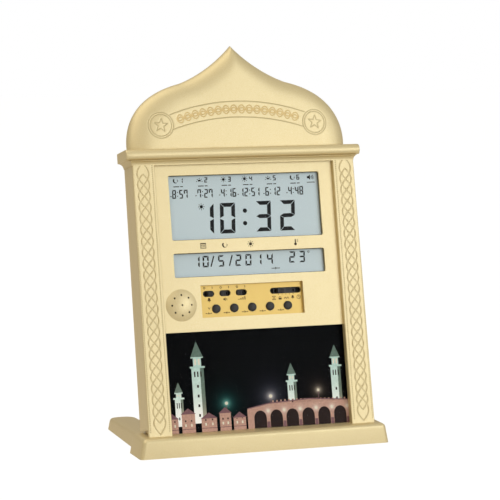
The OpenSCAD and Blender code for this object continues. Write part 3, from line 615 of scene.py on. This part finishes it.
# ---- dome: rings of its outline from the middle of its foot out, round the rim and back inside
domeTip = 99.55
dome = {"foot": 266.3, "edge": 20.0, "bulge": 11.0, "flatTo": 0.73, "power": 2.3, "crown": 0.5, "back": 27.4,
        "around": 430, "blur": 7.0, "blurFrom": 0.99, "blurFade": 0.1, "below": -1,
        "flank": [(108.5, 0), (108.5, 4.4), (114.9, 49.2), (53.5, 64.0)],
        "sweep": [(53.5, 64.0), (53.3, 64.1), (25.4, 72.6), (0, domeTip)]}
relief = {"medallion": (76.9, 23.5), "rings": (12.2, 10.3), "star": (6.8, 2.8), "starTurn": 0.1,
          "topArc": (202.6, -157.7), "bottomArc": (207.8, -178.0), "bandEnd": 67.5,
          "line": 0.36, "depth": 0.35, "shade": 0.8, "vineArc": (205.0, -167.6), "vineEnd": 62.0, "vineHigh": 3.9,
          "vineLong": 15.5, "vineLine": 0.4, "vineDepth": 0.3, "vineShade": 0.9, "eye": 1.5, "eyeSqueeze": 0.6}


def bezier(p, t):
    p = np.array(p, float)
    t = t[:, None]
    return (1 - t) ** 3 * p[0] + 3 * (1 - t) ** 2 * t * p[1] + 3 * (1 - t) * t * t * p[2] + t ** 3 * p[3]


fine = np.linspace(0, 1, 400)
half = np.vstack([bezier(dome["flank"], fine)[:-1], bezier(dome["sweep"], fine)])
outline = np.vstack([half, half[::-1][1:] * (-1, 1)])
run = np.concatenate([[0], np.cumsum(np.hypot(*np.diff(outline, axis=0).T))])
even = np.linspace(0, run[-1], dome["around"])
around = np.stack([np.interp(even, run, outline[:, k]) for k in (0, 1)], 1)
around[len(around) // 2 - 1:len(around) // 2 + 1] = [[0.001, domeTip], [-0.001, domeTip]]
outlineAngle = np.arctan2(outline[:, 1], outline[:, 0])
outlineRadius = np.hypot(outline[:, 0], outline[:, 1])


def pillow(x, z):  # depth of the smooth face at a point, before the relief
    angle = np.arctan2(np.clip(z, 0, None), x)
    s = np.clip(np.hypot(x, z) / np.interp(angle, outlineAngle, outlineRadius), 0, 1)
    t = np.clip((s - dome["flatTo"]) / (1 - dome["flatTo"]), 0, 1)
    return dome["edge"] - (dome["bulge"] - dome["crown"] * s * s) * np.sqrt(np.clip(1 - t ** dome["power"], 0, 1))


def softPillow(x, z, s):  # the ridge below the tip is blurred sideways
    reach = dome["blur"] * np.clip((dome["blurFrom"] - s) / dome["blurFade"], 0, 1)
    weights = (1, 2, 3, 4, 5, 4, 3, 2, 1)
    total = sum(pillow(x + reach * k / 4, z) * w for k, w in zip(range(-4, 5), weights))
    return total / sum(weights)


def arcLine(x, z, arc, end):
    radius, centre = arc
    return np.where(np.abs(x) < end, np.abs(np.hypot(x, z - centre) - radius), nowhere)


def starLine(x, z, outer, inner, turn):
    corners = [((outer if k % 2 == 0 else inner) * math.sin(turn + k * math.pi / 5),
                (outer if k % 2 == 0 else inner) * math.cos(turn + k * math.pi / 5)) for k in range(10)]
    best = np.full(x.shape, nowhere)
    for (ax, az), (bx, bz) in zip(corners, corners[1:] + corners[:1]):
        t = np.clip(((x - ax) * (bx - ax) + (z - az) * (bz - az)) / ((bx - ax) ** 2 + (bz - az) ** 2), 0, 1)
        best = np.minimum(best, np.hypot(x - ax - t * (bx - ax), z - az - t * (bz - az)))
    return best


def reliefLines(x, z):
    r = relief
    best = np.minimum(arcLine(x, z, r["topArc"], r["bandEnd"]), arcLine(x, z, r["bottomArc"], r["bandEnd"] - 2))
    for side in (-1, 1):
        mx, mz = x * side - r["medallion"][0], z - r["medallion"][1]
        away = np.hypot(mx, mz)
        for radius in r["rings"]:
            best = np.minimum(best, np.abs(away - radius))
        best = np.minimum(best, starLine(mx, mz, *r["star"], r["starTurn"] * side))
    return np.exp(-(best / r["line"]) ** 2)


def vineLines(x, z):  # two crossing waves with an eye in each loop: a plain interlaced border
    r = relief
    radius, centre = r["vineArc"]
    along = np.arctan2(x, z - centre) * radius
    across = np.hypot(x, z - centre) - radius
    k = 2 * math.pi / r["vineLong"]
    best = np.full(x.shape, nowhere)
    for sign in (-1, 1):
        wave = sign * r["vineHigh"] * np.sin(k * along)
        slope = r["vineHigh"] * k * np.cos(k * along)
        best = np.minimum(best, np.abs(across - wave) / np.sqrt(1 + slope ** 2))
    step = r["vineLong"] / 2
    local = along - (np.floor(along / step) + 0.5) * step
    best = np.minimum(best, np.abs(np.hypot(local * r["eyeSqueeze"], across) - r["eye"]))
    return np.exp(-(best / r["vineLine"]) ** 2) * (np.abs(along) < r["vineEnd"])


nearRim = [0.915, 0.93, 0.943, 0.955, 0.966, 0.976, 0.984, 0.99, 0.9945, 0.9975, 0.9992]
scales = np.concatenate([[0, 0.1, 0.2], np.linspace(0.24, 0.9, 142), nearRim])
x = around[None, :, 0] * scales[:, None]
z = around[None, :, 1] * scales[:, None]
lines = reliefLines(x, z) * (z > 3)
vine = vineLines(x, z)
depth = softPillow(x, z, scales[:, None]) + lines * relief["depth"] + vine * relief["vineDepth"]
z[:, 0] = z[:, -1] = dome["below"]
facePoints = np.stack([x, depth, z + dome["foot"]], 2)
rim = [(1.0, 20.0), (0.9992, 20.4), (0.9975, 20.75), (0.995, 21.05), (0.9915, 21.4), (0.987, 21.9), (0.981, 22.55),
       (0.975, 23.25), (0.9705, 23.9), (0.967, 24.7), (0.965, 25.8), (0.963, dome["back"]), (0.935, dome["back"]),
       (0.935, 22.6), (0.95, 20.5), (0.93, 16.0), (0.86, 12.6), (0.72, 11.7), (0.35, 11.6), (0.0, 11.6)]
rimPoints = []
for scale, y in rim:
    ringZ = np.where(around[:, 1] > 0.02, around[:, 1] * scale, dome["below"]) + dome["foot"]
    rimPoints.append(np.stack([around[:, 0] * scale, np.full(len(around), y), ringZ], 1))
points = np.concatenate([facePoints, np.array(rimPoints)])
blank = np.zeros((len(rim), len(around)))
piece = sheetOf(points)
# the band, rings and stars get painted shade in their grooves
paint(piece, "grooveShade", np.clip(np.vstack([lines * relief["shade"], blank]), 0, 1).reshape(-1))
# the vine gets painted shade in its grooves
paint(piece, "vineGrooveShade", np.clip(np.vstack([vine * relief["vineShade"], blank]), 0, 1).reshape(-1))
closeUp(piece)
housing.append(settle(piece, "domeCrown", "gold", smooth=60))
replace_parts(housing[-1], "front_housing")
print("dome is raised")

# ---- plinth: a bar with rounded edges, hollow below
plinth = {"half": 122.7, "front": -80.05, "back": -42.25, "foot": 0.6, "top": 19.0, "leanIn": 3.4, "leanBack": 1.2,
          "round": 3.8, "steps": 7, "wall": 3.8, "hollow": 13.0, "upperHalf": 10, "frontHalf": -60, "lowEdge": 5}
piece = block((-plinth["half"], plinth["half"]), (plinth["front"], plinth["back"]), (plinth["foot"], plinth["top"]))
for vertex in piece.data.vertices:
    if vertex.co.z > plinth["upperHalf"]:
        vertex.co.x -= math.copysign(plinth["leanIn"], vertex.co.x)
        vertex.co.y += plinth["leanBack"] if vertex.co.y < plinth["frontHalf"] else 0
editAll(piece)
bpy.ops.mesh.select_mode(type="EDGE")
bpy.ops.mesh.select_all(action="DESELECT")
bpy.ops.object.mode_set(mode="OBJECT")
for edge in piece.data.edges:
    edge.select = max(piece.data.vertices[v].co.z for v in edge.vertices) >= plinth["lowEdge"]
bpy.ops.object.mode_set(mode="EDIT")
bpy.ops.mesh.bevel(offset=plinth["round"], segments=plinth["steps"], affect="EDGES")
bpy.ops.mesh.select_all(action="DESELECT")
bpy.ops.object.mode_set(mode="OBJECT")
for polygon in piece.data.polygons:
    polygon.select = polygon.normal.z < -0.9
bpy.ops.object.mode_set(mode="EDIT")
bpy.ops.mesh.select_mode(type="FACE")
bpy.ops.mesh.inset(thickness=plinth["wall"])
bpy.ops.mesh.extrude_region_move(TRANSFORM_OT_translate={"value": (0, 0, plinth["hollow"])})
bpy.ops.object.mode_set(mode="OBJECT")
for vertex in piece.data.vertices:
    vertex.co.z = max(vertex.co.z, plinth["foot"])
plinthBar = settle(piece, "plinthBar", "gold", rowPlace)
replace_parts(plinthBar, "plinth")

# Neck that the body's foot sits over, set in from its side walls
neck = {"back": 24.8, "z": (-6, 6.45), "sink": 1.5, "edge": 0.3,
        "parts": [("neckMiddle", (-90.7, 90.7), 10.4), ("neckLeft", (-108.1, -91.7), 2.8),
                  ("neckRight", (91.7, 108.1), 2.8)]}
for name, x, front in neck["parts"]:
    piece = block(x, (front, neck["back"]), neck["z"])
    for vertex in piece.data.vertices:
        if vertex.co.z < 0:  # the underside follows the plinth's level top
            vertex.co.z = math.tan(lean) * vertex.co.y - neck["sink"]
    settle(soften(piece, neck["edge"]), name, "gold")

# ---- legs
leg = {"outer": 114.2, "toeIn": 3.9, "width": 33.0, "front": -42.25, "back": 80.05, "endRound": 13.0,
       "frontTop": 15.0, "backTop": 10.6, "foot": 0.6, "gap": 0.2, "toeSlack": 0.7}


def legLoop(inset, z):  # plan outline drawn in by inset, at a share z of the height up to the falling top
    x, y1, r = leg["outer"] - inset, leg["back"] - inset, leg["endRound"] - inset
    x0, xb = x - leg["width"] + 2 * inset, x - leg["toeIn"] + leg["toeSlack"]
    arc = [math.radians(a) for a in range(0, 91, 10)]
    loop = [(x0, leg["front"] + leg["gap"]), (x, leg["front"] + leg["gap"])]
    loop += [(xb - r + r * math.cos(a), y1 - r + r * math.sin(a)) for a in arc]
    loop += [(x0 + r - r * math.sin(a), y1 - r + r * math.cos(a)) for a in arc]
    fall = (leg["frontTop"] - leg["backTop"]) / (leg["back"] - leg["front"])
    high = leg["frontTop"] - leg["foot"]
    return [(px, py, leg["foot"] + z * (high - (py - leg["front"]) * fall)) for px, py in loop]


# Inset and height of each ring of a leg, from inside its hollow out over the foot and up to the top
legSteps = [(3.0, 0.62), (1.6, 0.0), (0, 0), (0.5, 0.25), (1.1, 0.55), (1.7, 0.8), (2.0, 0.88), (2.5, 0.945),
            (3.2, 0.985), (4.0, 1.0)]
for side, name in ((-1, "legLeft"), (1, "legRight")):
    rows = [legLoop(inset, z) for inset, z in legSteps]
    points = np.array([row + row[:1] for row in rows])
    points[..., 0] *= side
    piece = sheetOf(points, closed=True)
    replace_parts(settle(piece, name, "gold", rowPlace, smooth=40), "leg_left" if side < 0 else "leg_right")
print("stand is made")

# ---- flat marks on the displays, the panel and the control plate
strokes = {"0": "abcdef", "1": "bc", "2": "abged", "3": "abgcd", "4": "fgbc", "5": "afgcd", "6": "afgedc", "7": "abcf",
           "8": "abcdefg"}


def digit(figure, x, z, width, height, stroke, gap, slant=0.05):
    w, h, t, g = width / 2, height / 2, stroke, gap
    side = [(w, h - g), (w - t, h - t - g), (w - t, t / 2 + g), (w, g)]
    bars = {"a": [(g - w, h), (w - g, h), (w - t - g, h - t), (t + g - w, h - t)],
            "g": [(g - w, 0), (t - w, t / 2), (w - t, t / 2), (w - g, 0), (w - t, -t / 2), (t - w, -t / 2)],
            "b": side, "f": [(-px, pz) for px, pz in side], "c": [(px, -pz) for px, pz in side],
            "e": [(-px, -pz) for px, pz in side]}
    bars["d"] = [(px, -pz) for px, pz in bars["a"]]
    return [[(x + px + slant * pz, z + pz) for px, pz in bars[k]] for k in strokes[figure]]


def bar(ax, az, bx, bz, width):
    run = math.hypot(bx - ax, bz - az)
    nx, nz = (az - bz) / run * width / 2, (bx - ax) / run * width / 2
    return [(ax + nx, az + nz), (bx + nx, bz + nz), (bx - nx, bz - nz), (ax - nx, az - nz)]


def bow(x, z, radius, width, start, stop, count=10):  # part of a ring, clockwise from the top in degrees
    turns = [math.radians(start + (stop - start) * i / count) for i in range(count + 1)]
    return [(x + (radius + width / 2) * math.sin(a), z + (radius + width / 2) * math.cos(a)) for a in turns] + [
        (x + (radius - width / 2) * math.sin(a), z + (radius - width / 2) * math.cos(a)) for a in reversed(turns)]


def sun(x, z, size, low=False):
    first, last = (-90, 90) if low else (0, 315)
    rays = [math.radians(a) for a in range(first, last + 1, 45)]
    disc = [(px, max(pz, z) if low else pz) for px, pz in ring(x, z, size * 0.5, 16)]
    return [disc] + [bar(x + size * 0.68 * math.sin(a), z + size * 0.68 * math.cos(a),
                         x + size * math.sin(a), z + size * math.cos(a), size * 0.2) for a in rays]


def moon(x, z, size):
    outer = [(x + size * math.sin(a), z + size * math.cos(a)) for a in [math.radians(v) for v in range(30, 331, 20)]]
    inner = [(x + size * 0.32 + size * 0.74 * math.sin(a), z + size * 0.74 * math.cos(a))
             for a in [math.radians(v) for v in range(310, 49, -20)]]
    return [outer + inner]


def bell(x, z, size):
    cap = [(-0.9, -0.5), (0.9, -0.5), (0.6, -0.2), (0.5, 0.5), (0.2, 0.8), (-0.2, 0.8), (-0.5, 0.5), (-0.6, -0.2)]
    return [[(x + px * size, z + pz * size) for px, pz in cap], ring(x, z - size * 0.75, size * 0.2, 10)]


def horn(x, z, size, waves=2):
    cone = [(-0.9, -0.35), (-0.9, 0.35), (-0.4, 0.35), (0.2, 0.85), (0.2, -0.85), (-0.4, -0.35)]
    return [[(x + px * size, z + pz * size) for px, pz in cone]] + [
        bow(x + size * 0.1, z, size * (0.5 + 0.35 * k), size * 0.16, 50, 130, 6) for k in range(waves)]


def settleMarks(shapes, depths, name, finish):
    return settle(plates(shapes, *depths), name, finish, smooth=20)


onGlass = (7.84, 7.93)  # front and back of marks on the displays, at the pane's edge, on the panel and on the plate
atPane = (6.46, 6.58)
onPanel = (3.985, 4.1)
onPlate = (7.67, 7.8)

big = {"width": 15, "height": 28.8, "stroke": 3.7, "gap": 0.3}
shapes = []
for figure, x in (("1", -39.2), ("0", -18.0), ("3", 17.8), ("2", 42.0)):
    shapes += digit(figure, x, 200.1 if x < 0 else 200.8, **big)
shapes += [ring(-0.4, 206.6, 2.1, 24), ring(-1.0, 194.7, 2.1, 24)]
small = {"width": 3.7, "height": 8.2, "stroke": 1.15, "gap": 0.14}
smallRow = 224.1
for text, x in (("8:57", -65.6), ("7:27", -41.0), ("4:16", -17.6), ("12:51", 5.7), ("6:12", 26.6), ("4:48", 49.7)):
    hours, minutes = text.split(":")
    for figure, shift in zip(reversed(hours), (-3.4, -8.0)):
        shapes += digit(figure, x + shift, smallRow, **small)
    for figure, shift in zip(minutes, (3.4, 8.0)):
        shapes += digit(figure, x + shift, smallRow, **small)
    shapes += [ring(x, smallRow + k, 0.5, 10) for k in (-1.8, 1.8)]
    left = x - (11.6 if len(hours) > 1 else 6.6)
    shapes.append(bar(left - 0.6, 222.2, left + 0.6, 222.2, 0.8))
shapes += moon(-67.0, 236.8, 2.4) + moon(49.4, 236.8, 2.4) + sun(-43.4, 235.6, 3.2, True) + sun(-19.6, 236.8, 2.7)
shapes += sun(1.4, 236.8, 2.9) + sun(25.0, 235.6, 3.2, True) + sun(-43.2, 211.6, 3.2)
tiny = {"width": 3.1, "height": 4.8, "stroke": 0.95, "gap": 0.08}
for figure, x in zip("123456", (-61.2, -37.0, -13.7, 7.6, 31.4, 55.2)):
    shapes += digit(figure, x, 236.8, **tiny)
    shapes += [bar(x - 8, 231.2, x - 2.4, 231.2, 0.8), bar(x - 1.4, 231.2, x + 1.4, 231.2, 0.8)]
shapes += horn(67.0, 236.4, 2.9, 3) + [bar(64.0, 231.6, 72.0, 231.6, 0.7)]
settleMarks(shapes, onGlass, "timeFigures", "segment")

date = {"width": 5.9, "height": 10.7, "stroke": 1.5, "gap": 0.25}
shapes = []
for figure, x in (("1", -51.6), ("0", -42.7), ("5", -27.5), ("2", -10.4), ("0", -0.4), ("1", 9.7), ("4", 21.1)):
    shapes += digit(figure, x, 160.0, **date)
for figure, x in (("2", 43.5), ("3", 53.5)):
    shapes += digit(figure, x, 160.9, **date)
shapes += [bar(x - 1.6, 155.0, x + 1.8, 165.0, 1.2) for x in (-36.2, -18.0)]
shapes += [bow(60.4, 165.2, 0.8, 0.4, a, a + 180) for a in (0, 180)]
shapes += [bar(22.2 + k * 1.2, 151.0, 23.0 + k * 1.2, 151.0, 2.2 if k == 3 else 0.9) for k in range(7)]
settleMarks(shapes, onGlass, "dateFigures", "segment")

shapes = []
for w in ("upper", "lower"):  # painted shadow: a dark line where a pane meets its opening
    (z0, z1), half, r = windows[w], windows["half"], windows["corner"] - 0.2
    shapes += [bar(-half + r, z, half - r, z, 0.55) for z in (z0 + 0.2, z1 - 0.2)]
    shapes += [bar(x, z0 + r, x, z1 - r, 0.55) for x in (-half + 0.2, half - 0.2)]
    shapes += [bow(x, z, r - 0.2, 0.55, a, a + 90) for x, z, a in (
                   (half - r, z1 - r, 0), (half - r, z0 + r, 90), (r - half, z0 + r, 180), (r - half, z1 - r, 270))]
settleMarks(shapes, atPane, "windowEdgeShadows", "inkAndEdgeShadow")

# Printed between the windows: a calendar leaf, moon and sun, and a thermometer
x, z = -45.3, 174.6
shapes = [bar(x - 2.8, z + 2.0, x + 2.8, z + 2.0, 1.1), bar(x - 2.55, z + 2.0, x - 2.55, z - 2.4, 0.5),
          bar(x + 2.55, z + 2.0, x + 2.55, z - 2.4, 0.5), bar(x - 2.8, z - 2.4, x + 2.8, z - 2.4, 0.5)]
shapes += [bar(x + k - 0.45, z + row, x + k + 0.45, z + row, 0.9) for k in (-1.4, 0, 1.4) for row in (-1.1, 0.4)]
shapes += moon(-24.2, z, 2.6) + sun(1.5, z, 3.1)
shapes += [bar(46.5, z - 1.6, 46.5, z + 2.8, 1.1), ring(46.5, z - 1.8, 1.35, 16)]
shapes += [bar(47.9, z + k, 49.3, z + k, 0.4) for k in (0.2, 1.3, 2.4)]
settleMarks(shapes, onPanel, "panelSigns", "inkAndEdgeShadow")

# Signs on the control plate
shapes = []
for x in keys["switchX"]:
    shapes += [bow(x - 3.9, 135.2, 0.85, 0.5, a, a + 180) for a in (0, 180)]
    shapes.append(bar(x + 3.9, 134.1, x + 3.9, 136.3, 0.6))
shapes += bell(-42.0, 124.0, 2.3) + horn(-26.2, 124.0, 2.0)
shapes += [bar(-12.6 + k * 2.0, 122.8, -12.6 + k * 2.0, 123.6 + 0.7 * k, 1.0) for k in range(4)]
shapes += [bar(27 + 3.7 * k, 125.6, 27 + 3.7 * k, 126.5, 0.6) for k in range(5)]
shapes += [bar(20.6, 124.3, 23.8, 121.5, 0.4), bar(23.8, 124.3, 20.6, 121.5, 0.4), bar(20.4, 124.5, 24.0, 124.5, 0.5),
           bar(20.4, 121.3, 24.0, 121.3, 0.5)]
shapes += [bar(26.9, 122.0, 29.9, 122.0, 1.8)] + [bow(28.4, 122.9, 1.1, 0.4, -90, 60)]
shapes += [bar(32.4 + 1.2 * k, 121.7 + 1.6 * (k % 2), 33.6 + 1.2 * k, 121.7 + 1.6 * ((k + 1) % 2), 0.6)
           for k in range(4)]
shapes += bell(41.1, 123.1, 1.9)
shapes += [bow(47.1, 122.9, 1.8, 0.45, a, a + 180) for a in (0, 180)]
shapes += [bar(47.1, 122.9, 47.1, 124.3, 0.45), bar(47.1, 122.9, 48.1, 122.4, 0.45)]
shapes += [bar(-43.5, 117.0, -42.5, 115.2, 0.5), bar(-41.5, 117.0, -42.5, 115.2, 0.5)]
for k, x in enumerate((-43.2, -25.5, -7.4, 10.1, 28.3)):
    shapes += [bar(x - 3.0, 111.4, x - 1.4, 111.4, 0.8), bar(x + 1.4, 111.4, x + 3.0, 111.4, 0.8)]
    shapes.append(ring(x, 111.4, 1.3, 3, math.radians((0, 180, 90, 270, 0)[k])))
settleMarks(shapes, onPlate, "plateSigns", "ink")
print("figures and signs are on")

# ---- the picture: an invented river town at night
town = {"pale": [], "shade": [], "warm": [], "low": [], "gap": [], "light": []}
towers = [{"x": -58, "foot": 10, "top": 62, "width": 12, "stage": 9, "roof": 15},
          {"x": -78, "foot": 8, "top": 34, "width": 8, "stage": 5, "roof": 10},
          {"x": 34, "foot": 18, "top": 44, "width": 9, "stage": 6, "roof": 11},
          {"x": 79, "foot": 18, "top": 56, "width": 10, "stage": 8, "roof": 12}]
for tower in towers:
    x, top, w = tower["x"], tower["top"], tower["width"] / 2
    eave = top + tower["stage"]
    town["pale"] += [bar(x, tower["foot"], x, top, 2 * w), bar(x - w - 1.3, top, x + w + 1.3, top, 1.6),
                     bar(x, top, x, eave, 1.3 * w), bar(x - w, eave, x + w, eave, 1.0)]
    town["shade"] += [bar(x + w * 0.7, tower["foot"], x + w * 0.7, top - 0.9, w * 0.6),
                      [(x - w, eave + 0.5), (x, eave + tower["roof"]), (x + w, eave + 0.5)]]
    town["gap"] += [bar(x + k * w * 0.5, top - 9, x + k * w * 0.5, top - 4, w * 0.22) for k in (-1, 0, 1)]
    town["gap"] += [bar(x - w * 0.1, z, x - w * 0.1, z + 2.6, w * 0.3) for z in range(tower["foot"] + 6, top - 14, 9)]
    town["light"] += [bar(x + k * w * 0.3, top + 2, x + k * w * 0.3, eave - 1.4, w * 0.3) for k in (-1, 1)]
for k, (x, width, eave) in enumerate([(-86, 12, 15), (-70, 13, 19), (-50, 15, 14), (-34, 11, 18), (-20, 12, 13)]):
    town["warm"].append(bar(x, -2, x, eave, width))
    town["low"] += [[(x - width / 2 - 1, eave), (x, eave + 5.5), (x + width / 2 + 1, eave)],
                    bar(x - width / 2, 5.2, x + width / 2, 5.2, 0.6)]
    town["light"] += [bar(x + side * width * 0.22, 7.5, x + side * width * 0.22, 10, 1.5) for side in (-1, 1)]
    high = 12.7 if k == 4 else 13.6  # the last house is the lowest
    town["gap"] += [bar(x + side * width * 0.22, 12, x + side * width * 0.22, high, 1.3) for side in (-1, 1)]
town["warm"].append([(-12, -2), (-12, 20), (10, 24), (50, 26), (92, 23), (92, -2)])
town["low"] += [bar(-12, 20.4, 10, 24.4, 1.0), bar(10, 24.4, 50, 26.4, 1.0), bar(50, 26.4, 92, 23.4, 1.0)]
town["warm"] += [bar(x, 24.0 - abs(x - 32) * 0.03, x, 27.4 - abs(x - 32) * 0.03, 1.4) for x in range(14, 91, 4)]
for k in range(bridge["arches"]):
    x = bridge["first"] + k * bridge["pitch"]
    arch = [(x + 6.2 * math.sin(a), 11 + 7.2 * math.cos(a)) for a in [math.radians(v) for v in range(-90, 91, 15)]]
    town["gap"].append(arch + [(x + 6.2, -2), (x - 6.2, -2)])
    pier = x + bridge["pitch"] / 2
    town["low"].append(bar(pier, 0, pier, 7.5, 3.0))
    town["light"].append(ring(pier, bridge["lampHigh"], 0.9, 12))
town["light"] += [ring(12, 31, 1.7, 20), ring(-32, 27, 1.6, 20), ring(60, 34, 1.3, 20)]
town["low"] += [bar(12, 24.5, 12, 29.4, 0.5), bar(60, 25.8, 60, 32.8, 0.5), bar(-32, 22, -32, 25.5, 0.5)]
layers = {"pale": (8.145, "paleStone"), "shade": (8.137, "shadeStone"), "warm": (8.13, "warmWall"),
          "low": (8.122, "lowWall"), "gap": (8.124, "nightGap"), "light": (8.115, "lampLight")}
for key, (front, finish) in layers.items():
    settleMarks(town[key], (front, 8.2), "town" + key.capitalize(), finish)
print("picture is in")
